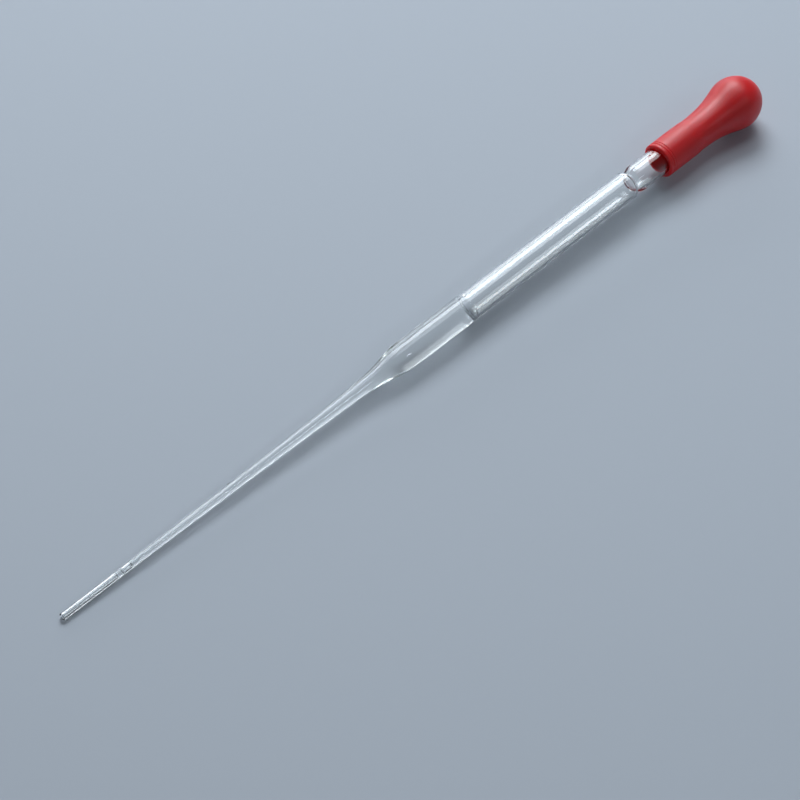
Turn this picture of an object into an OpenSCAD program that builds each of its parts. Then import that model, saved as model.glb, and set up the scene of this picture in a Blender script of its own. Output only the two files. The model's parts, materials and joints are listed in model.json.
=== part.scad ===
// Dropper pipette: a drawn glass tube, a moulded rubber teat and the water that it holds.
// It lies as it comes to rest, on its tip and its bulb, along X with the bulb at +X.
// The origin is under the middle of the whole, on the surface that it lies on.
// All sizes are in millimetres.

/* [Glass tube] */
// Length of the glass from tip to mouth
glass_len = 200; // [165:1:250]
// Outside diameter of the barrel
barrel_od = 7; // [5.8:0.1:8.4]
// Wall of the barrel
barrel_wall = 0.7; // [0.5:0.05:1.1]
// Outside diameter of the mouthpiece, the end that the teat grips
mouthpiece_od = 6.8; // [5.6:0.1:8.2]

/* [Drawn stem] */
// Length of the slender stem, from the tip to the foot of the shoulder
stem_len = 90; // [70:1:110]
// Outside diameter at the tip
tip_od = 1.7; // [1.4:0.05:2.1]
// Bore at the tip
tip_bore = 1; // [0.7:0.05:1.2]
// Length of the parallel stretch behind the tip
tip_len = 8; // [2:0.5:14]
// Outside diameter of the stem at the foot of the shoulder
stem_od = 3.7; // [2.6:0.1:4.6]
// Length of the shoulder, where the stem opens out to the barrel
shoulder_len = 14; // [8:0.5:24]

/* [Constriction] */
// Distance from the middle of the constriction to the mouth of the glass
ring_to_mouth = 20.9; // [17:0.1:30]
// Length of the constriction along the tube, a third of it on the barrel's side
ring_len = 4.2; // [3:0.1:7]
// Outside diameter at the bottom of the constriction
ring_od = 4.8; // [4:0.1:5.7]

/* [Rubber teat] */
// Length of the teat
teat_len = 34.6; // [29:0.1:45]
// Length of the glass inside the teat
grip_len = 11; // [8:0.1:13.5]
// Wall of the sleeve where it is stretched over the glass
sleeve_wall = 0.96; // [0.7:0.02:1.4]
// Length of the lip, from the mouth of the teat to the first of the two fine lines behind it
lip_len = 1.1; // [0.8:0.1:1.6]
// Outside diameter of the waist, behind the end of the glass
waist_od = 8.44; // [7.6:0.1:10]
// Distance from the end of the glass to the waist
waist_gap = 1.6; // [1.2:0.1:4]
// Wall of the waist
waist_wall = 1.15; // [0.8:0.05:1.5]
// Outside diameter of the bulb
bulb_od = 12.98; // [11:0.1:16]
// Length of the dome that closes the bulb
dome_len = 7.2; // [6:0.1:9.5]
// Wall of the bulb
bulb_wall = 1.3; // [0.9:0.05:1.8]
// Wall at the end of the dome, where it is thickest
pole_wall = 1.6; // [1:0.05:2.4]

/* [Water] */
// Distance from the tip to the short slug of water
slug_pos = 15.3; // [4:0.1:30]
// Length of the slug
slug_len = 2; // [1.5:0.1:6]
// Length of the air bubble between the slug and the column
bubble_len = 2.2; // [1:0.1:6]
// How far past the shoulder the column of water reaches
column_past_shoulder = 20.2; // [8:0.1:50]
// Dip of each water surface at its middle, as a share of the bore's radius
surface_dip = 0.68; // [0.3:0.02:0.95]

/* [Fits] */
// Gap between the teat's sleeve and the glass, which is next to nothing in stretched rubber
grip_gap = 0.01; // [0.005:0.005:0.03]
// Gap between the water and the bore that it wets
wet_gap = 0.01; // [0.005:0.005:0.03]

/* [Hidden] */
$fn = 96;

barrel_r = barrel_od / 2;
tip_r = tip_od / 2;
stem_r = stem_od / 2;
ring_r = ring_od / 2;
mouthpiece_r = mouthpiece_od / 2;
bulb_r = bulb_od / 2;
waist_r = waist_od / 2;
sleeve_bore_r = mouthpiece_r + grip_gap;
sleeve_r = sleeve_bore_r + sleeve_wall;

// Stations along the axis, from the tip
shoulder_end = stem_len + shoulder_len;
ring_pos = glass_len - ring_to_mouth;
ring_start = ring_pos - ring_len / 3;
ring_end = ring_start + ring_len;
teat_pos = glass_len - grip_len;
waist_pos = grip_len + waist_gap;
bulb_pos = teat_len - dome_len;

// How much slimmer the stem stays near the tip than a straight cone, and its slope at the shoulder
stem_slope = 0.042;
stem_lead = 0.44;
stem_land = 0.2;
stem_swell = 0.15;

// Steps that the curved stretches are drawn in
long_steps = 32;
short_steps = 14;
rim_steps = 10;

// ---- outlines, as [radius, distance along the axis] ----

// Cubic curve from a to d with the handles b and c. It leaves its start out, so curves chain.
function curve(a, b, c, d, steps) = [for (i = [1 : steps]) let (t = i / steps, s = 1 - t)
    s * s * s * a + 3 * s * s * t * b + 3 * s * t * t * c + t * t * t * d];

// Curve that leaves a and meets b parallel to the axis. lead and land are the shares of its
// length over which it keeps to each end's radius.
function ease(a, b, lead, land, steps) = let (run = b.y - a.y)
    curve(a, [a.x, a.y + lead * run], [b.x, b.y - land * run], b, steps);

// Arc of an ellipse about a centre, without its first and last points
function inner_arc(centre, radii, from, to, steps) = [for (i = [1 : steps - 1])
    let (angle = from + (to - from) * i / steps)
    centre + [radii.x * cos(angle), radii.y * sin(angle)]];

function reversed(line) = [for (i = [len(line) - 1 : -1 : 0]) line[i]];

// The glass was drawn from one tube, so its wall thins with its diameter
tip_wall = (tip_od - tip_bore) / 2;
function wall_at(r) = tip_wall + (barrel_wall - tip_wall) * (r - tip_r) / (barrel_r - tip_r);
tip_rim = tip_wall / 2;
mouth_rim = wall_at(mouthpiece_r) / 2;

// Outside of the glass, between the rounded rims
stem_foot = [stem_r, stem_len];
shoulder_top = [barrel_r, shoulder_end];
ring_bottom = [ring_r, ring_pos];
glass_line = concat(
    [[tip_r, tip_rim], [tip_r, tip_len]],
    curve([tip_r, tip_len],
          [tip_r + stem_swell, stem_lead * stem_len],
          stem_foot - stem_land * stem_len * [stem_slope, 1],
          stem_foot, long_steps),
    curve(stem_foot,
          stem_foot + shoulder_len / 2 * [stem_slope, 1],
          shoulder_top - [0, shoulder_len * 0.32],
          shoulder_top, long_steps),
    [[barrel_r, ring_start]],
    ease([barrel_r, ring_start], ring_bottom, 0.62, 0.28, short_steps),
    ease(ring_bottom, [mouthpiece_r, ring_end], 0.28, 0.62, short_steps),
    [[mouthpiece_r, glass_len - mouth_rim]]);

// Bore of the glass, which follows the outside at the thickness of the wall
bore_line = [for (p = glass_line) [p.x - wall_at(p.x), p.y]];
bore_table = [for (p = bore_line) [p.y, p.x]];
function bore_at(z) = lookup(z, bore_table);

// Both ends were melted round in a flame
function rim(outer_r, z, radius, from, to) =
    inner_arc([outer_r - radius, z], [radius, radius], from, to, rim_steps);
glass_outline = concat(
    glass_line,
    rim(mouthpiece_r, glass_len - mouth_rim, mouth_rim, 0, 180),
    reversed(bore_line),
    rim(tip_r, tip_rim, tip_rim, 180, 360));

// Outside of the teat, from its mouth: rounded lip, two fine lines behind it, sleeve, waist, bulb, dome
lip_round = lip_len * 0.45;
line_depth = 0.13;
line_half = 0.16;
line_spacing = 0.75;
sleeve_end = grip_len - 1.2;
teat_line = concat(
    inner_arc([sleeve_r - lip_round, lip_round], [lip_round, lip_round], -90, 0, short_steps),
    [for (z = [lip_len, lip_len + line_spacing])
        each [[sleeve_r, z - line_half], [sleeve_r - line_depth, z], [sleeve_r, z + line_half]]],
    [[sleeve_r, sleeve_end]],
    ease([sleeve_r, sleeve_end], [waist_r, waist_pos], 0.5, 0.5, short_steps),
    ease([waist_r, waist_pos], [bulb_r, bulb_pos], 0.62, 0.19, long_steps),
    inner_arc([0, bulb_pos], [bulb_r, dome_len], 0, 90, long_steps),
    [[0, teat_len]]);

// Inside of the teat: a flared mouth, the bore that grips the glass, and the air chamber
mouth_flare = 0.08;
chamber_r = bulb_r - bulb_wall;
chamber_dome = dome_len - pole_wall;
chamber_line = concat(
    [[sleeve_bore_r + mouth_flare, 0], [sleeve_bore_r, mouth_flare * 2],
     [sleeve_bore_r, grip_len + grip_gap]],
    ease([sleeve_bore_r, grip_len + grip_gap], [waist_r - waist_wall, waist_pos],
         0.3, 0.4, short_steps),
    ease([waist_r - waist_wall, waist_pos], [chamber_r, bulb_pos], 0.62, 0.19, long_steps),
    inner_arc([0, bulb_pos], [chamber_r, chamber_dome], 0, 90, long_steps),
    [[0, bulb_pos + chamber_dome]]);

teat_outline = concat(teat_line, reversed(chamber_line));

// Stations of the water, from the tip
column_start = slug_pos + slug_len + bubble_len;
column_end = shoulder_end + column_past_shoulder;

// Half of a water surface, from the axis out to the bore at z. It is part of a ball that dips
// into the water at its middle: side is 1 where the water lies above it and -1 below.
function water_face(z, side) = let (r = bore_at(z) - wet_gap, dip = r * surface_dip,
    ball = (r * r + dip * dip) / (2 * dip), reach = asin(r / ball))
    [for (i = [0 : short_steps]) let (angle = reach * i / short_steps)
        [ball * sin(angle), z + side * (dip - ball + ball * cos(angle))]];

function water_outline(from, to) = concat(
    water_face(from, 1),
    [for (p = bore_line) if (p.y > from && p.y < to) [p.x - wet_gap, p.y]],
    reversed(water_face(to, -1)));

// ---- the rest pose ----

// The tube leans down to the tip at the angle at which its underside just touches the surface
// that the bulb lies on
bulb_station = teat_pos + bulb_pos;
tilt = atan(min([for (p = glass_outline) (bulb_r - p.x) / (bulb_station - p.y)]));
whole_outline = concat(glass_outline, [for (p = teat_line) p + [0, teat_pos]]);
lift = -min([for (p = whole_outline) p.y * sin(tilt) - p.x * cos(tilt)]);
low_x = min([for (p = whole_outline) p.y * cos(tilt) - p.x * sin(tilt)]);
high_x = max([for (p = whole_outline) p.y * cos(tilt) + p.x * sin(tilt)]);

// Lays down what is drawn upright on the Z axis with its tip at the origin
module at_rest() {
    translate([-(low_x + high_x) / 2, 0, lift])
        rotate([0, 90 - tilt, 0])
            children();
}

// ---- the pieces ----

module glass_tube() {
    color([0.84, 0.9, 0.93, 0.45])
        at_rest()
            rotate_extrude() polygon(glass_outline);
}

module rubber_teat() {
    color([0.75, 0.05, 0.06])
        at_rest()
            translate([0, 0, teat_pos])
                rotate_extrude() polygon(teat_outline);
}

module drawn_water() {
    color([0.62, 0.8, 0.9, 0.6])
        at_rest() {
            rotate_extrude() polygon(water_outline(slug_pos, slug_pos + slug_len));
            rotate_extrude() polygon(water_outline(column_start, column_end));
        }
}

glass_tube();
rubber_teat();
drawn_water();
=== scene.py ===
import json
import math

import bpy
import numpy as np
from mathutils import Matrix, Vector


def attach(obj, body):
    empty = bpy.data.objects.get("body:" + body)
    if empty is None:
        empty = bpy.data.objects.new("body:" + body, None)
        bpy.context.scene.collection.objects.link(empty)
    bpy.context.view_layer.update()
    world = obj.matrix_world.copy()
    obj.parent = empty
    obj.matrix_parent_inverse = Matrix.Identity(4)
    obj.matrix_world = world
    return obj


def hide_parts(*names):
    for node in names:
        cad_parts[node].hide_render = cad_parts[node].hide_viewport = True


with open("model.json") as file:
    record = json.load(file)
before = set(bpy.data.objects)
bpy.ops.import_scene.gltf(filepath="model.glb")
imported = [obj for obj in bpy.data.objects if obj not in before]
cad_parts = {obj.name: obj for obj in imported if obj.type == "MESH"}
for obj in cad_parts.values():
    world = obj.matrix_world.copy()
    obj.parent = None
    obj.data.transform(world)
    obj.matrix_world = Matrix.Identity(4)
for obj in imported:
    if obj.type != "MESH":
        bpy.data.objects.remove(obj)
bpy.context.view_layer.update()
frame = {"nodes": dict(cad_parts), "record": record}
mm = 0.001
print("frame loaded:", ", ".join(sorted(frame["nodes"])))


# Points and triangles of a CAD node, in metres
def meshArrays(node):
    mesh = frame["nodes"][node].data
    mesh.calc_loop_triangles()
    points = np.empty(len(mesh.vertices) * 3)
    corners = np.empty(len(mesh.loop_triangles) * 3, np.int64)
    mesh.vertices.foreach_get("co", points)
    mesh.loop_triangles.foreach_get("vertices", corners)
    return points.reshape(-1, 3), corners.reshape(-1, 3)


# The pipette's own axis. Stations are millimetres along it from the tip's rim towards the bulb.
# Angles go round it from sideways, which is +Y, towards upward.
barrel = next(m for m in frame["record"]["mounts"] if m["name"] == "barrel")
along = -np.array(barrel["axis"])
along /= np.linalg.norm(along)
sideways = np.array((0.0, 1.0, 0.0))
upward = np.cross(along, sideways)
barrelFoot = np.array(barrel["pos_m"])
tipPoint = barrelFoot + along * ((meshArrays("glass_tube")[0] - barrelFoot) @ along).min()
axisTilt = math.asin(along[2])
print("axis tilts %.2f degrees, tip at x %.1f mm" % (math.degrees(axisTilt), tipPoint[0] / mm))


# How outlines are read off the CAD nodes and made smooth
outlineLook = {
    "wallLean": 0.002,      # how far a triangle looks away from the axis, or to it, to count as wall
    "sameRing": 0.01,       # mm within which corners are one ring, or lie on the axis
    "solidGap": 0.05,       # mm of empty axis that parts two solids
    "lineSteps": 16,        # places on each stretch of a smooth line
    "cornerAngle": 48,      # degrees of turn from which an outline keeps its corner
    "shortStep": 0.03,      # mm, the least between two rings
    "evenReach": 33,        # places of a smooth line over which the rings' spacing is evened out
    "evenShare": 0.7,       # how nearly even it gets
    "sharpAngle": 42,       # degrees between two faces from which their edge is shaded as a corner
}


# Stations and radii of a CAD node's triangle corners, with the way each triangle looks: above 0
# away from the axis, below 0 towards it, and near 0 along it.
def axisMeasures(node):
    points, corners = meshArrays(node)
    offset = points - tipPoint
    station = offset @ along
    across = offset - station[:, None] * along
    a, b, c = (points[corners[:, k]] for k in range(3))
    normal = np.cross(b - a, c - a)
    middle = across[corners].mean(axis=1)
    size = np.linalg.norm(normal, axis=1) * np.linalg.norm(middle, axis=1)
    looks = (normal * middle).sum(axis=1) / np.maximum(size, 1e-20)
    return station[corners] / mm, np.linalg.norm(across, axis=1)[corners] / mm, looks


# The outline of one wall between two stations, as rows of (station, radius) in order along the
# axis. facing is 1 for the wall that looks outwards and -1 for the one that looks at the axis.
# Corners within sameRing of the one before are one ring, at their mean.
def wallOutline(node, facing, low=-math.inf, high=math.inf):
    station, radius, looks = axisMeasures(node)
    isWall = looks * facing > outlineLook["wallLean"]
    kept = isWall & (station.min(axis=1) > low) & (station.max(axis=1) < high)
    station, radius = station[kept].ravel(), radius[kept].ravel()
    order = np.lexsort((radius, np.round(station, 3)))
    station, radius = station[order], radius[order]
    step = np.hypot(np.diff(station, prepend=station[0]), np.diff(radius, prepend=radius[0]))
    ring = np.cumsum(step > outlineLook["sameRing"])
    members = np.bincount(ring)
    line = np.stack((np.bincount(ring, station), np.bincount(ring, radius)), axis=1) / members[:, None]
    line[line[:, 1] < outlineLook["sameRing"], 1] = 0.0
    return line


# The stretches of the axis that the separate solids of a node take up
def solidSpans(node):
    station = axisMeasures(node)[0]
    low, high = station.min(axis=1), station.max(axis=1)
    order = np.argsort(low)
    low = low[order]
    reach = np.maximum.accumulate(high[order])
    gaps = np.flatnonzero(low[1:] > reach[:-1] + outlineLook["solidGap"])
    return list(zip(np.r_[low[0], low[gaps + 1]], np.r_[reach[gaps], reach[-1]]))


# Smooth line through an outline's points. Each stretch is the cubic that leaves and meets its ends
# along the chord between their neighbours, and a turn over cornerAngle stays a corner.
# It returns the fine line and the corners' places on it.
def smoothLine(points, closed=False):
    if closed:
        ring = np.vstack((points[-1:], points, points[:2]))
    else:
        ring = np.vstack((2 * points[:1] - points[1:2], points, 2 * points[-1:] - points[-2:-1]))
    chord = np.diff(ring, axis=0)
    length = np.linalg.norm(chord, axis=1)[:, None]
    heading = chord / length
    slope = (chord[:-1] + chord[1:]) / (length[:-1] + length[1:])
    straightness = (heading[:-1] * heading[1:]).sum(axis=1)
    corner = straightness < math.cos(math.radians(outlineLook["cornerAngle"]))
    leave = np.where(corner[:, None], heading[1:], slope)[:-1]
    meet = np.where(corner[:, None], heading[:-1], slope)[1:]
    start, run, size = ring[1:-2], chord[1:-1], length[1:-1]
    steps = outlineLook["lineSteps"]
    t = (np.arange(steps) / steps)[None, :, None]
    bend = leave[:, None] * (t - 2 * t**2 + t**3) + meet[:, None] * (t**3 - t**2)
    line = start[:, None] + run[:, None] * (3 * t**2 - 2 * t**3) + size[:, None] * bend
    line = line.reshape(-1, 2)
    if not closed:
        line = np.vstack((line, points[-1:]))
    return line, np.flatnonzero(corner[:len(points)]) * steps


# Rings along a fine line. Each step of the line needs a number of rings: the largest of its length
# over longStep, its turn over turnStep degrees, and its length over fineStep near the station
# fineAt, raised to evenShare of what its neighbours need. The rings lie where the running total of
# those numbers has grown by even amounts, and each fixed place has a ring of its own.
def spreadRings(line, fixed, longStep, turnStep, fineAt=None, fineReach=1, fineStep=1, closed=False):
    if closed:
        line = np.vstack((line, line[:1]))
    step = np.diff(line, axis=0)
    length = np.linalg.norm(step, axis=1)
    angle = np.unwrap(np.arctan2(step[:, 1], step[:, 0]))
    turn = np.abs(np.diff(angle, append=angle[-1])) / math.radians(turnStep)
    turn = 0.5 * (turn + np.roll(turn, 1))
    needed = np.maximum(length / longStep, turn)
    if fineAt is not None:
        near = np.exp(-(((line[:-1, 0] - fineAt) / fineReach) ** 2))
        needed = np.maximum(needed, near * length / fineStep)
    needed = np.minimum(needed, length / outlineLook["shortStep"])
    kernel = np.hanning(outlineLook["evenReach"])
    evened = np.convolve(needed / length, kernel / kernel.sum(), "same")
    needed = np.maximum(needed, outlineLook["evenShare"] * evened * length)
    total = np.r_[0.0, np.cumsum(needed)]
    marks = total[np.unique(np.r_[0, fixed, len(line) - 1]).astype(int)]
    counts = np.maximum(1, np.ceil(np.diff(marks))).astype(int)
    places = np.concatenate([np.linspace(a, b, n, endpoint=False)
                             for a, b, n in zip(marks[:-1], marks[1:], counts)])
    if not closed:
        places = np.r_[places, total[-1]]
    return np.stack((np.interp(places, total, line[:, 0]), np.interp(places, total, line[:, 1])), axis=1)


noTriangles = np.empty((0, 3), int)


# Surface of revolution: the point at (station, radius) of each ring goes to the axis at that
# station, plus the radius times (cos angle sideways + sin angle upward). lift(station, radius,
# angle) is added to the radius. An open outline starts and ends on the axis, where its first and
# last rings shrink to poles. kinds gives each band between two rings its material's number.
def revolve(name, rings, around, lift=None, closed=False, kinds=None):
    turn = np.arange(around)
    nextTurn = np.roll(turn, -1)
    angle = turn[None, :] * 2 * math.pi / around
    station, radius = rings[:, :1] * mm, rings[:, 1:] * mm
    if lift is not None:
        radius = radius + lift(rings[:, :1], rings[:, 1:], angle) * mm
    radius = np.broadcast_to(radius, (len(rings), around))
    points = (tipPoint + station[:, None] * along
              + (radius * np.cos(angle))[..., None] * sideways
              + (radius * np.sin(angle))[..., None] * upward)

    # The faces of the bands from each ring of low to its partner in high
    def bands(low, high):
        low, high = low[:, None] * around, high[:, None] * around
        return np.stack((low + turn, low + nextTurn, high + nextTurn, high + turn), axis=2).reshape(-1, 4)

    if closed:
        row = np.arange(len(rings))
        quads = bands(row, np.roll(row, -1))
        triangles = noTriangles
        points = points.reshape(-1, 3)
    else:
        row = np.arange(len(rings) - 3)
        quads = bands(row, row + 1)
        foot = (len(rings) - 2) * around
        top, last = foot + 1, foot - around
        triangles = np.vstack((np.stack((np.full(around, foot), nextTurn, turn), axis=1),
                               np.stack((last + turn, last + nextTurn, np.full(around, top)), axis=1)))
        points = np.vstack((points[1:-1].reshape(-1, 3), points[0, :1], points[-1, :1]))
        if kinds is not None:
            kinds = np.r_[kinds[1:-1], kinds[0], kinds[-1]]
    if kinds is not None:
        kinds = np.repeat(kinds, around)
    return buildMesh(name, points, quads, triangles, kinds)


# A smooth-shaded mesh. kinds holds one material number for each face, quads first.
def buildMesh(name, points, quads, triangles=noTriangles, kinds=None):
    mesh = bpy.data.meshes.new(name)
    corners = np.r_[quads.ravel(), triangles.ravel()].astype(np.int32)
    starts = np.r_[np.arange(len(quads)) * 4, len(quads) * 4 + np.arange(len(triangles)) * 3]
    mesh.vertices.add(len(points))
    mesh.loops.add(len(corners))
    mesh.polygons.add(len(starts))
    mesh.vertices.foreach_set("co", points.astype(np.float32).ravel())
    mesh.loops.foreach_set("vertex_index", corners)
    mesh.polygons.foreach_set("loop_start", starts.astype(np.int32))
    if kinds is not None:
        mesh.polygons.foreach_set("material_index", kinds.astype(np.int32))
    mesh.polygons.foreach_set("use_smooth", np.ones(len(starts), bool))
    mesh.update(calc_edges=True)
    mesh.validate()
    mesh.set_sharp_from_angle(angle=math.radians(outlineLook["sharpAngle"]))
    piece = bpy.data.objects.new(name, mesh)
    bpy.context.scene.collection.objects.link(piece)
    print("%s: %d points, %d faces" % (name, len(points), len(starts)))
    return piece


# A flat rectangle about the origin that looks up, width along X and depth along Y
def buildSheet(name, width, depth):
    corners = np.array(((-1, -1, 0), (1, -1, 0), (1, 1, 0), (-1, 1, 0))) / 2
    return buildMesh(name, corners * (width, depth, 0), np.array([[0, 1, 2, 3]]))


# Makes one piece of several. Each already holds the materials, so that its faces keep theirs.
def joinPieces(name, pieces):
    with bpy.context.temp_override(active_object=pieces[0], selected_editable_objects=pieces):
        bpy.ops.object.join()
    pieces[0].name = name
    return pieces[0]


# Adds a shader node and sets its plain values, by name for properties and by socket for inputs
def addNode(nodes, kind, where, sockets=None, **properties):
    node = nodes.new("ShaderNode" + kind)
    node.location = where
    for key, value in properties.items():
        setattr(node, key, value)
    for key, value in (sockets or {}).items():
        node.inputs[key].default_value = value
    return node


# A material of one Principled shader, with its plain values
def newMaterial(name, **sockets):
    material = bpy.data.materials.new(name)
    material.use_nodes = True
    shader = material.node_tree.nodes["Principled BSDF"]
    for key, value in sockets.items():
        shader.inputs[key.replace("_", " ")].default_value = value
    return material, shader


# A shader group of number sockets with one output, for an effect that several materials use
def newGroup(name, inputs, output):
    group = bpy.data.node_groups.new(name, "ShaderNodeTree")
    for label, value in inputs.items():
        socket = group.interface.new_socket(label, in_out="INPUT", socket_type="NodeSocketFloat")
        socket.default_value = value
    group.interface.new_socket(output, in_out="OUTPUT", socket_type="NodeSocketFloat")
    return group, group.nodes.new("NodeGroupInput"), group.nodes.new("NodeGroupOutput")


# Handling: soft uneven patches, as a value between Low and High. The value is Low where a noise is
# under Coverage, and rises smoothly from there to High.
def makeHandlingGroup():
    inputs = {"Scale": 90.0, "Low": 0.0, "High": 1.0, "Coverage": 0.5}
    group, entry, out = newGroup("handling", inputs, "Value")
    nodes, links = group.nodes, group.links
    rise = 0.3    # of the noise, from where the value leaves Low to where it reaches High
    where = addNode(nodes, "TexCoord", (-900, 0))
    patches = addNode(nodes, "TexNoise", (-600, 0), {"Detail": 4.0, "Roughness": 0.55, "Distortion": 0.8})
    edge = addNode(nodes, "Math", (-600, -300), {1: rise}, operation="ADD")
    spread = addNode(nodes, "MapRange", (-300, 0), interpolation_type="SMOOTHSTEP")
    links.new(where.outputs["Object"], patches.inputs["Vector"])
    links.new(entry.outputs["Scale"], patches.inputs["Scale"])
    links.new(patches.outputs[0], spread.inputs["Value"])
    links.new(entry.outputs["Coverage"], spread.inputs["From Min"])
    links.new(entry.outputs["Coverage"], edge.inputs[0])
    links.new(edge.outputs[0], spread.inputs["From Max"])
    links.new(entry.outputs["Low"], spread.inputs["To Min"])
    links.new(entry.outputs["High"], spread.inputs["To Max"])
    links.new(spread.outputs[0], out.inputs["Value"])
    return group


# Draw lines: a noise stretched along the tube's axis, as the height of faint lengthwise streaks.
# Across and Along are how finely it varies each way, to the metre.
def makeDrawLinesGroup():
    group, entry, out = newGroup("drawLines", {"Across": 700.0, "Along": 12.0}, "Height")
    nodes, links = group.nodes, group.links
    where = addNode(nodes, "TexCoord", (-1000, 0))
    turned = addNode(nodes, "Mapping", (-800, 0), {"Rotation": (0.0, axisTilt, 0.0)}, vector_type="POINT")
    scale = addNode(nodes, "CombineXYZ", (-800, -350))
    stretch = addNode(nodes, "VectorMath", (-500, 0), operation="MULTIPLY")
    streaks = addNode(nodes, "TexNoise", (-300, 0), {"Scale": 1.0, "Detail": 2.0, "Roughness": 0.5})
    links.new(where.outputs["Object"], turned.inputs["Vector"])
    links.new(entry.outputs["Along"], scale.inputs["X"])
    links.new(entry.outputs["Across"], scale.inputs["Y"])
    links.new(entry.outputs["Across"], scale.inputs["Z"])
    links.new(turned.outputs[0], stretch.inputs[0])
    links.new(scale.outputs[0], stretch.inputs[1])
    links.new(stretch.outputs[0], streaks.inputs["Vector"])
    links.new(streaks.outputs[0], out.inputs["Height"])
    return group


handlingGroup = makeHandlingGroup()
drawLinesGroup = makeDrawLinesGroup()
print("shader groups made")


glassLook = {
    "around": 116,             # segments round the tube
    "longStep": 1.2,           # mm between rings on the straight
    "turnStep": 4.5,           # degrees of turn for each ring
    "index": 1.5,              # refractive index of the glass
    "wetIndex": 1.5 / 1.333,   # glass against water
    "tint": (0.985, 0.993, 0.99, 1.0),
    "smudgeRoughness": 0.05,   # where it was handled
    "smudgeScale": 60.0,       # how finely the smudges vary, to the metre
    "smudgeCoverage": 0.55,
    "drawLineBump": 0.05,      # how strongly the draw lines show
    "drawLineDepth": 0.00002,  # m
    # Waves of both walls: how many there are round the tube, radians by which they run on for each mm
    # along it, and their share of the depth
    "waves": ((5, 0.35, 0.6), (9, -0.6, 0.4)),
    "barrelWave": 0.0006,      # mm, their depth on most of the tube
    "flareWave": 0.05,         # mm, their depth where they are deepest, on the drawn shoulder
    "flareStation": 101.0,     # mm, middle of the stretch with the deep ones
    "flareReach": 8.0,         # mm that it runs each way
    "flareAngle": 33.0,        # degrees round from sideways, the side that has them
    "boreShift": 1.7,          # radians between the two walls' first waves, half that of the second
    "fullRadius": 2.5,         # mm of radius from which the waves have their full depth
    "calmEnd": 1.0,            # mm without waves at the tip and before the teat
    "calmReach": 6.0,          # mm over which they grow from there
    "beadStation": 49.4,       # mm from the tip, a bead left on the stem
    "beadAngle": 33.0,         # degrees round from sideways
    "beadLength": 0.26,        # mm
    "beadHeight": 0.12,        # mm
    "beadReach": 0.9,          # mm each way with closer rings
    "beadStep": 0.07,          # mm between those rings
}

waterSpans = solidSpans("drawn_water")
teatMouth = axisMeasures("rubber_teat")[0].min()


# Radius added to the glass, in mm. Both walls carry the sum of the waves, sines round the tube that
# turn slowly along it. They are deeper on one side of the drawn shoulder, as a Gaussian along
# it, in proportion to the radius where the tube is slender, and gone at the tip and from the teat
# on. The outer wall also has a bead, which is a round Gaussian.
def glassLift(isOuter):
    def lift(station, radius, angle):
        look = glassLook
        fromTip = np.clip((station - look["calmEnd"]) / look["calmReach"], 0, 1)
        toTeat = np.clip((teatMouth - look["calmEnd"] - station) / look["calmReach"], 0, 1)
        flare = np.exp(-(((station - look["flareStation"]) / look["flareReach"]) ** 2))
        flare = flare * (0.5 + 0.5 * np.cos(angle - math.radians(look["flareAngle"]))) ** 2
        depth = (look["barrelWave"] + (look["flareWave"] - look["barrelWave"]) * flare) * (toTeat * fromTip)
        depth = depth * np.minimum(radius / look["fullRadius"], 1)
        shift = np.where(isOuter[:, None], 0.0, look["boreShift"])
        waves = sum(share * np.sin(count * angle + twist * station + (order + 1) * shift)
                    for order, (count, twist, share) in enumerate(look["waves"]))
        arc = (angle - math.radians(look["beadAngle"]) + math.pi) % (2 * math.pi) - math.pi
        bead = np.exp(-((station - look["beadStation"]) / look["beadLength"]) ** 2
                      - (arc * radius / look["beadLength"]) ** 2) * isOuter[:, None]
        return depth * waves + look["beadHeight"] * bead
    return lift


# The glass is one closed outline turned about the axis: up along the outer wall from the tip, round
# the mouth's rim, back down the bore and round the tip's rim
def makeGlassTube():
    look = glassLook
    outer = wallOutline("glass_tube", 1)
    inner = wallOutline("glass_tube", -1)
    line, corners = smoothLine(np.vstack((outer, inner[-2:0:-1])), closed=True)
    # The bore gets a ring exactly where each water surface meets it
    borePlaces = np.arange(outlineLook["lineSteps"] * len(outer) + 1, len(line))
    wetEdges = [borePlaces[np.argmin(np.abs(line[borePlaces, 0] - edge))]
                for span in waterSpans for edge in span]
    rings = spreadRings(line, np.r_[corners, wetEdges], look["longStep"], look["turnStep"],
                        look["beadStation"], look["beadReach"], look["beadStep"], closed=True)
    isOuter = np.arange(len(rings)) < np.argmax(rings[:, 0])
    middle = 0.5 * (rings[:, 0] + np.roll(rings[:, 0], -1))
    isWet = np.any([(middle > low) & (middle < high) for low, high in waterSpans], axis=0)
    return revolve("glassTube", rings, look["around"], lift=glassLift(isOuter), closed=True,
                   kinds=isWet & ~isOuter)


# Clear glass with faint draw lines, and a few smudges that only its roughness shows
def makeGlassMaterial(name, index):
    look = glassLook
    material, shader = newMaterial(name, Base_Color=look["tint"], IOR=index, Transmission_Weight=1.0)
    nodes, links = material.node_tree.nodes, material.node_tree.links
    smudges = addNode(nodes, "Group", (-500, 0), {
        "Scale": look["smudgeScale"], "Low": 0.0, "High": look["smudgeRoughness"],
        "Coverage": look["smudgeCoverage"]}, node_tree=handlingGroup)
    drawLines = addNode(nodes, "Group", (-700, -300), node_tree=drawLinesGroup)
    bump = addNode(nodes, "Bump", (-400, -300), {
        "Strength": look["drawLineBump"], "Distance": look["drawLineDepth"]})
    links.new(smudges.outputs["Value"], shader.inputs["Roughness"])
    links.new(drawLines.outputs["Height"], bump.inputs["Height"])
    links.new(bump.outputs["Normal"], shader.inputs["Normal"])
    return material


glassTube = makeGlassTube()
glassTube.data.materials.append(makeGlassMaterial("clearGlass", glassLook["index"]))
glassTube.data.materials.append(makeGlassMaterial("wettedGlass", glassLook["wetIndex"]))
print("glass tube made, wet over %d stretches" % len(waterSpans))


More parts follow.
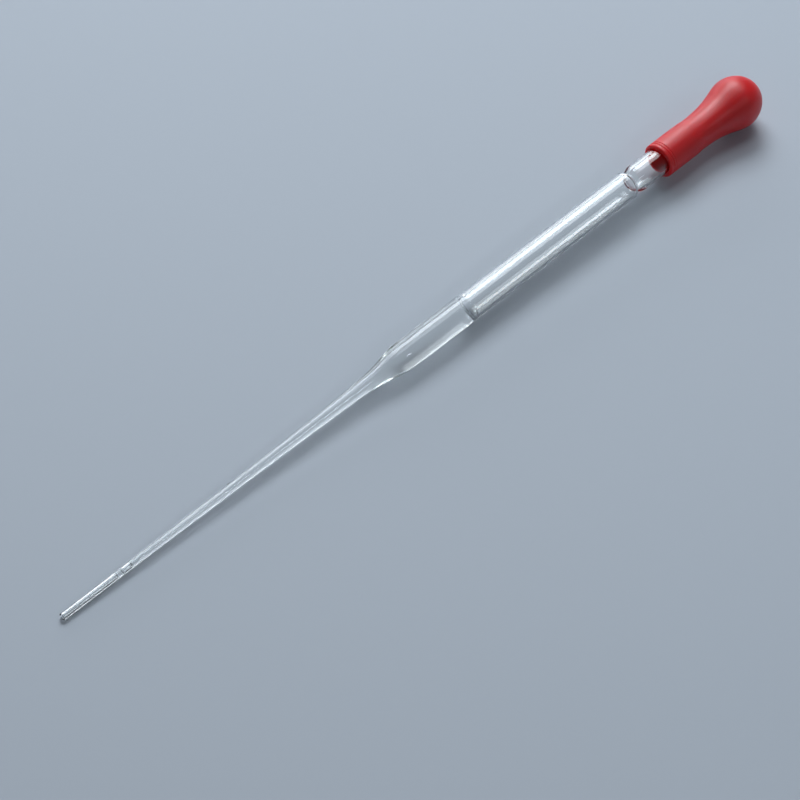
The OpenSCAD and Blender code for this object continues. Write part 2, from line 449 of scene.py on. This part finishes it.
waterLook = {
    "around": 116,             # segments round each body of water
    "longStep": 1.5,           # mm between rings on the straight
    "turnStep": 4.0,           # degrees of turn for each ring
    "endMargin": 0.1,          # mm past a body's ends within which its outline is read
    "index": 1.333,            # refractive index of water against air
    "sideAlpha": 0.05,         # how much of its side shows
    "tint": (0.99, 0.995, 1.0, 1.0),
    "rippleRoughness": 0.02,   # where its surface is least smooth
    "rippleScale": 220.0,      # how finely that varies, to the metre
    "rippleCoverage": 0.4,
}


# The water's two surfaces bend light. Its side hardly shows, because the wetted glass round it
# already bends light by as much as glass against water does.
def makeWaterMaterial(name, index, alpha):
    look = waterLook
    material, shader = newMaterial(name, Base_Color=look["tint"], IOR=index, Alpha=alpha,
                                   Transmission_Weight=1.0)
    ripple = addNode(material.node_tree.nodes, "Group", (-500, 0), {
        "Scale": look["rippleScale"], "Low": 0.0, "High": look["rippleRoughness"],
        "Coverage": look["rippleCoverage"]}, node_tree=handlingGroup)
    material.node_tree.links.new(ripple.outputs["Value"], shader.inputs["Roughness"])
    return material


waterMaterials = [makeWaterMaterial("clearWater", waterLook["index"], 1.0),
                  makeWaterMaterial("waterSide", 1.0, waterLook["sideAlpha"])]


# One body of water is an outline turned about the axis: its lower surface from the axis out, its
# side along the bore, and its upper surface back in to the axis. Both surfaces dip into the water,
# so the side runs from the lowest ring to the highest.
def makeWaterBody(number, low, high):
    look = waterLook
    span = low - look["endMargin"], high + look["endMargin"]
    side = wallOutline("drawn_water", 1, *span)
    ends = wallOutline("drawn_water", -1, *span)
    isLower = ends[:, 0] < 0.5 * (low + high)
    lower, upper = ends[isLower], ends[~isLower]
    lower = lower[np.argsort(lower[:, 1])]
    upper = upper[np.argsort(-upper[:, 1])]
    line, corners = smoothLine(np.vstack((lower, side[1:-1], upper)))
    rings = spreadRings(line, corners, look["longStep"], look["turnStep"])
    rings[[0, -1], 1] = 0.0
    band = np.arange(len(rings) - 1)
    isSide = (band >= np.argmin(rings[:, 0])) & (band < np.argmax(rings[:, 0]))
    body = revolve("water%d" % number, rings, look["around"], kinds=isSide)
    for material in waterMaterials:
        body.data.materials.append(material)
    return body


drawnWater = joinPieces("drawnWater", [makeWaterBody(k, *span) for k, span in enumerate(waterSpans)])
print("drawn water made of %d bodies" % len(waterSpans))


teatLook = {
    "around": 160,             # segments round the teat
    "longStep": 0.5,           # mm between rings on the straight
    "turnStep": 4.0,           # degrees of turn for each ring
    "color": (0.62, 0.010, 0.014, 1.0),
    "index": 1.5,              # refractive index of the rubber
    "glow": 0.003,             # m that light travels inside the rubber
    "roughness": (0.36, 0.46),
    "patchScale": 140.0,       # how finely the roughness varies, to the metre
    "patchCoverage": 0.35,
    "fineScale": 3200.0,       # the same for the fine grain
    "coarseScale": 704.0,      # and for the coarse grain
    "coarseShare": 0.5,
    "grainBump": 0.35,         # how strongly the grain shows
    "grainDepth": 0.00006,     # m
}


# The teat is an outline turned about the axis: from the middle of the chamber's dome down its inside
# to the mouth, round the lip, and up its outside to the middle of the bulb
def makeRubberTeat():
    look = teatLook
    outer = wallOutline("rubber_teat", 1)
    inner = wallOutline("rubber_teat", -1)
    line, corners = smoothLine(np.vstack((inner[::-1], outer[1:])))
    rings = spreadRings(line, corners, look["longStep"], look["turnStep"])
    rings[[0, -1], 1] = 0.0
    return revolve("rubberTeat", rings, look["around"])


# Satin red rubber. Its grain is a mix of a fine and a coarse noise, as one height.
def makeRubberMaterial():
    look = teatLook
    material, shader = newMaterial("redRubber", Base_Color=look["color"], IOR=look["index"],
                                   Subsurface_Weight=1.0, Subsurface_Scale=look["glow"])
    nodes, links = material.node_tree.nodes, material.node_tree.links
    patches = addNode(nodes, "Group", (-600, 0), {
        "Scale": look["patchScale"], "Low": look["roughness"][0], "High": look["roughness"][1],
        "Coverage": look["patchCoverage"]}, node_tree=handlingGroup)
    where = addNode(nodes, "TexCoord", (-1200, -300))
    fine = addNode(nodes, "TexNoise", (-950, -200), {
        "Scale": look["fineScale"], "Detail": 3.0, "Roughness": 0.6})
    coarse = addNode(nodes, "TexNoise", (-950, -500), {
        "Scale": look["coarseScale"], "Detail": 2.0, "Roughness": 0.5})
    grain = addNode(nodes, "Mix", (-700, -300), {0: look["coarseShare"]}, data_type="FLOAT")
    bump = addNode(nodes, "Bump", (-400, -300), {
        "Strength": look["grainBump"], "Distance": look["grainDepth"]})
    links.new(patches.outputs["Value"], shader.inputs["Roughness"])
    links.new(where.outputs["Object"], fine.inputs["Vector"])
    links.new(where.outputs["Object"], coarse.inputs["Vector"])
    links.new(fine.outputs[0], grain.inputs[2])
    links.new(coarse.outputs[0], grain.inputs[3])
    links.new(grain.outputs[0], bump.inputs["Height"])
    links.new(bump.outputs["Normal"], shader.inputs["Normal"])
    return material


rubberTeat = makeRubberTeat()
rubberTeat.data.materials.append(makeRubberMaterial())
print("rubber teat made")


for piece, node, slot in ((glassTube, "glass_tube", "clear_glass"),
                          (drawnWater, "drawn_water", "clear_water"),
                          (rubberTeat, "rubber_teat", "red_rubber")):
    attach(piece, "root")
    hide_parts(node)
print("pieces ride on the frame and stand for its nodes")


stageLook = {
    "floorSize": 6.0,          # m
    "floorDrop": 0.00002,      # m from the surface that the pipette lies on down to the floor
    "floorColor": (0.44, 0.485, 0.545, 1.0),
    "floorRoughness": 0.6,
    "floorSpecular": 0.15,
    "lampColor": (0.9, 0.955, 1.0, 1.0),
    "panelDistance": 1.2,      # m from the origin
    "panelFade": 0.45,         # share of the half size over which a panel fades out to its edge
    "skyHorizon": (0.165, 0.18, 0.2, 1.0),
    "skyTop": (0.055, 0.06, 0.067, 1.0),
    "skyRise": (0.02, 0.7),    # heights on a ball of radius 1 between which it goes from one to the other
    "lightTurns": 40,          # how often light may be reflected, bent or let through on its way
}
# Each panel: degrees round the pipette's axis from sideways towards upward, share of its direction
# that points along the axis, size across and along the axis in m, and radiance
panels = {
    "softbox": {"round": 53.0, "lengthwise": 0.46, "across": 0.72, "length": 0.9, "radiance": 9.3},
    "overhead": {"round": 84.0, "lengthwise": 0.46, "across": 0.55, "length": 0.9, "radiance": 3.3},
    "lowPanel": {"round": 14.0, "lengthwise": 0.46, "across": 0.5, "length": 1.4, "radiance": 2.7},
    "lampLeft": {"round": 140.0, "lengthwise": -0.3, "across": 0.14, "length": 0.14, "radiance": 16.0},
    "lampRight": {"round": 140.0, "lengthwise": 0.35, "across": 0.14, "length": 0.14, "radiance": 16.0},
}


# The floor is a flat sheet of one plain pale colour
def makeFloor():
    floor = buildSheet("floor", stageLook["floorSize"], stageLook["floorSize"])
    floor.location.z = -stageLook["floorDrop"]
    material, shader = newMaterial("paleFloor", Base_Color=stageLook["floorColor"],
                                   Roughness=stageLook["floorRoughness"],
                                   Specular_IOR_Level=stageLook["floorSpecular"])
    floor.data.materials.append(material)


# A panel's glow: its radiance over the middle, falling off smoothly to nothing at each edge, and
# nothing on its back
def makeGlow(name, length, across, radiance):
    material = bpy.data.materials.new(name)
    material.use_nodes = True
    nodes, links = material.node_tree.nodes, material.node_tree.links
    nodes.clear()
    where = addNode(nodes, "TexCoord", (-1100, 0))
    split = addNode(nodes, "SeparateXYZ", (-900, 0))
    side = addNode(nodes, "NewGeometry", (-500, -300))
    lit = addNode(nodes, "Math", (-300, -300), {0: 1.0}, operation="SUBTRACT")
    links.new(where.outputs["Object"], split.inputs[0])
    links.new(side.outputs["Backfacing"], lit.inputs[1])
    for axis, half in (("X", length / 2), ("Y", across / 2)):
        away = addNode(nodes, "Math", (-700, 0), operation="ABSOLUTE")
        fade = addNode(nodes, "MapRange", (-500, 0), {
            "From Min": half, "From Max": half * (1 - stageLook["panelFade"])},
            interpolation_type="SMOOTHSTEP")
        both = addNode(nodes, "Math", (-150, 0), operation="MULTIPLY")
        links.new(split.outputs[axis], away.inputs[0])
        links.new(away.outputs[0], fade.inputs["Value"])
        links.new(lit.outputs[0], both.inputs[0])
        links.new(fade.outputs[0], both.inputs[1])
        lit = both
    clear = addNode(nodes, "BsdfTransparent", (0, 100))
    glow = addNode(nodes, "Emission", (0, -100), {"Color": stageLook["lampColor"], "Strength": radiance})
    mix = addNode(nodes, "MixShader", (200, 0))
    out = addNode(nodes, "OutputMaterial", (400, 0))
    links.new(lit.outputs[0], mix.inputs[0])
    links.new(clear.outputs[0], mix.inputs[1])
    links.new(glow.outputs[0], mix.inputs[2])
    links.new(mix.outputs[0], out.inputs["Surface"])
    return material


# A glowing panel that faces the origin. Its direction is share along the axis plus the rest of a
# unit length times (cos turn sideways + sin turn upward).
def makePanel(name, look):
    turn, share = math.radians(look["round"]), look["lengthwise"]
    across = math.cos(turn) * sideways + math.sin(turn) * upward
    toward = share * along + math.sqrt(1 - share**2) * across
    lengthwise = along - (along @ toward) * toward
    lengthwise /= np.linalg.norm(lengthwise)
    pose = np.eye(4)
    pose[:3, 0] = lengthwise
    pose[:3, 1] = np.cross(-toward, lengthwise)
    pose[:3, 2] = -toward
    pose[:3, 3] = toward * stageLook["panelDistance"]
    panel = buildSheet(name, look["length"], look["across"])
    panel.matrix_world = Matrix(pose)
    panel.data.materials.append(makeGlow(name, look["length"], look["across"], look["radiance"]))
    panel.visible_camera = False
    panel.visible_shadow = False


# The world is pale along the horizon and dimmer overhead
def makeWorld():
    world = bpy.data.worlds.new("studio")
    bpy.context.scene.world = world
    world.use_nodes = True
    nodes, links = world.node_tree.nodes, world.node_tree.links
    low, high = stageLook["skyRise"]
    where = addNode(nodes, "TexCoord", (-900, 0))
    parts = addNode(nodes, "SeparateXYZ", (-700, 0))
    height = addNode(nodes, "MapRange", (-500, 0), {"From Min": low, "From Max": high},
                     interpolation_type="SMOOTHSTEP")
    # Inputs 6 and 7 of a colour mix are its two colours
    shade = addNode(nodes, "Mix", (-250, 0), data_type="RGBA")
    shade.inputs[6].default_value = stageLook["skyHorizon"]
    shade.inputs[7].default_value = stageLook["skyTop"]
    links.new(where.outputs["Generated"], parts.inputs[0])
    links.new(parts.outputs["Z"], height.inputs["Value"])
    links.new(height.outputs[0], shade.inputs[0])
    links.new(shade.outputs[2], nodes["Background"].inputs["Color"])


cameraLook = {
    "lens": 157.5,               # mm
    "sensor": 36,                # mm, its width
    "clip": (0.01, 50),          # m, the nearest and the furthest that it sees
    "heading": 44.54,            # degrees, the way it looks, from +X towards +Y
    "pitch": 47.29,              # degrees, how far it looks down
    "distance": 0.7839,          # m from the point it looks at
    "aim": (-0.01652, -0.0066),  # m, that point on the floor
}


# The camera stands back from the point that it aims at, against the direction that it looks in
def makeCamera():
    look = cameraLook
    lens = bpy.data.cameras.new("camera")
    lens.lens = look["lens"]
    lens.sensor_width = look["sensor"]
    lens.clip_start, lens.clip_end = look["clip"]
    camera = bpy.data.objects.new("camera", lens)
    heading, pitch = math.radians(look["heading"]), math.radians(look["pitch"])
    view = Vector((math.cos(heading) * math.cos(pitch), math.sin(heading) * math.cos(pitch),
                   -math.sin(pitch)))
    camera.location = Vector((*look["aim"], 0.0)) - view * look["distance"]
    camera.rotation_euler = view.to_track_quat("-Z", "Y").to_euler()
    bpy.context.scene.collection.objects.link(camera)
    bpy.context.scene.camera = camera


makeFloor()
makeWorld()
for name, look in panels.items():
    makePanel(name, look)
makeCamera()
bpy.context.scene.view_settings.view_transform = "Standard"
# Clear glass round clear water passes light on many times before it gets out
for limit in ("max_bounces", "glossy_bounces", "transmission_bounces", "transparent_max_bounces"):
    setattr(bpy.context.scene.cycles, limit, stageLook["lightTurns"])
print("stage, light and camera made")
